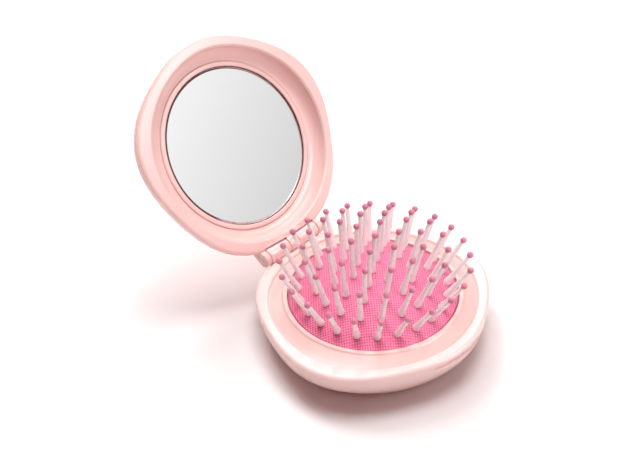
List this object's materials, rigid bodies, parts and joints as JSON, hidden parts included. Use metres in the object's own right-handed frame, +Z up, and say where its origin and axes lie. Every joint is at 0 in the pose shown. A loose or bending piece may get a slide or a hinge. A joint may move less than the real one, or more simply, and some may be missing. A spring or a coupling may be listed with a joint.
{
  "type": "folding hairbrush",
  "caption": "Folding pop-up hairbrush: a crowned air cushion of ball-tipped pins slides in a round pebble case, under a hinged lid with a round mirror.",
  "frame": {"origin": "bottom centre of the bounding box with the lid open; X across the hinge", "axes": "+Z up from the surface it stands on, +Y from the thumb scoop to the hinge, +X along the hinge pin"},
  "size_m": [0.075, 0.116, 0.0765],
  "materials": {
    "case_plastic": "satin",
    "inner_plastic": "satin",
    "cushion_fabric": "woven fabric face",
    "pin_nylon": "satin, with rose dipped tips",
    "mirror_glass": "polished",
    "hinge_steel": "bright",
    "foam_tape": "matte"
  },
  "bodies": {
    "base": {"base_shell": "case_plastic", "base_deck": "case_plastic", "hinge_pin": "hinge_steel"},
    "lid": {"lid_shell": "case_plastic", "lid_liner": "case_plastic", "mirror_bezel": "case_plastic", "mirror": "mirror_glass", "mirror_tape": "foam_tape"},
    "pad": {"push_plate": "inner_plastic", "pad_ring": "inner_plastic", "clamp_ring": "inner_plastic", "cushion": "cushion_fabric"},
    "row_0": {"pin_centre": "pin_nylon"},
    "row_1": {"pin_row1_1": "pin_nylon", "pin_row1_2": "pin_nylon", "pin_row1_3": "pin_nylon", "pin_row1_4": "pin_nylon", "pin_row1_5": "pin_nylon", "pin_row1_6": "pin_nylon"},
    "row_2": {"pin_row2_1": "pin_nylon", "pin_row2_2": "pin_nylon", "pin_row2_3": "pin_nylon", "pin_row2_4": "pin_nylon", "pin_row2_5": "pin_nylon", "pin_row2_6": "pin_nylon", "pin_row2_7": "pin_nylon", "pin_row2_8": "pin_nylon", "pin_row2_9": "pin_nylon", "pin_row2_10": "pin_nylon", "pin_row2_11": "pin_nylon", "pin_row2_12": "pin_nylon"},
    "row_3": {"pin_row3_1": "pin_nylon", "pin_row3_2": "pin_nylon", "pin_row3_3": "pin_nylon", "pin_row3_4": "pin_nylon", "pin_row3_5": "pin_nylon", "pin_row3_6": "pin_nylon", "pin_row3_7": "pin_nylon", "pin_row3_8": "pin_nylon", "pin_row3_9": "pin_nylon", "pin_row3_10": "pin_nylon", "pin_row3_11": "pin_nylon", "pin_row3_12": "pin_nylon", "pin_row3_13": "pin_nylon", "pin_row3_14": "pin_nylon", "pin_row3_15": "pin_nylon", "pin_row3_16": "pin_nylon", "pin_row3_17": "pin_nylon", "pin_row3_18": "pin_nylon"},
    "row_4": {"pins_row4_1": "pin_nylon", "pins_row4_2": "pin_nylon", "pins_row4_3": "pin_nylon", "pins_row4_4": "pin_nylon"}
  },
  "joints": [
    {"name": "lid_hinge", "type": "hinge", "parent": "base", "child": "lid", "pos_m": [0, 0.01484, 0.0142], "axis": [1, 0, 0], "range_deg": [0, 121.4]},
    {"name": "pad_slide", "type": "slide", "parent": "base", "child": "pad", "axis": [0, 0, -1], "range_m": [0, 0.009]},
    {"name": "row0_press", "type": "slide", "parent": "pad", "child": "row_0", "axis": [0, 0, -1], "range_m": [0, 0.0091], "deforming": ["cushion"]},
    {"name": "row1_press", "type": "slide", "parent": "pad", "child": "row_1", "axis": [0, 0, -1], "range_m": [0, 0.00878]},
    {"name": "row2_press", "type": "slide", "parent": "pad", "child": "row_2", "axis": [0, 0, -1], "range_m": [0, 0.00723]},
    {"name": "row3_press", "type": "slide", "parent": "pad", "child": "row_3", "axis": [0, 0, -1], "range_m": [0, 0.00458]},
    {"name": "row4_press", "type": "slide", "parent": "pad", "child": "row_4", "axis": [0, 0, -1], "range_m": [0, 0.0015], "deforming": ["pins_row4_1", "pins_row4_2", "pins_row4_3", "pins_row4_4"]}
  ],
  "couplings": [
    {"joint": "pad_slide", "follows": "lid_hinge", "m_per_rad": 0.0042476},
    {"joint": "row0_press", "follows": "lid_hinge", "m_per_rad": 0.0042948},
    {"joint": "row1_press", "follows": "lid_hinge", "m_per_rad": 0.0041437},
    {"joint": "row2_press", "follows": "lid_hinge", "m_per_rad": 0.0034122},
    {"joint": "row3_press", "follows": "lid_hinge", "m_per_rad": 0.0021615},
    {"joint": "row4_press", "follows": "lid_hinge", "m_per_rad": 0.0007079}
  ]
}
